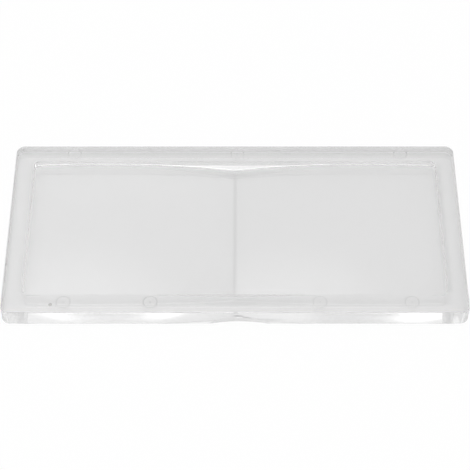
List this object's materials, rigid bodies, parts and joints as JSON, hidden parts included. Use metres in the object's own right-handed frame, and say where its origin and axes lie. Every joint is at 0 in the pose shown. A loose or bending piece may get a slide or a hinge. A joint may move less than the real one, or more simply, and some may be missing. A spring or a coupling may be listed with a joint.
{
  "type": "welding helmet magnifying lens",
  "caption": "Clear moulded magnifying plate for a welding helmet: two convex lens fields meet in a valley inside a flat raised rim.",
  "frame": {"origin": "centre of the flat back face, which the plate lies on", "axes": "+X along the long side, +Y from the gated long edge to the plain one, +Z out of the lens fields"},
  "size_m": [0.108, 0.0508, 0.0045],
  "materials": {
    "clear_polycarbonate": "polished moulded polycarbonate, clear and colourless, refractive index 1.586"
  },
  "bodies": {
    "root": {"lens_plate": "clear_polycarbonate"}
  },
  "joints": []
}
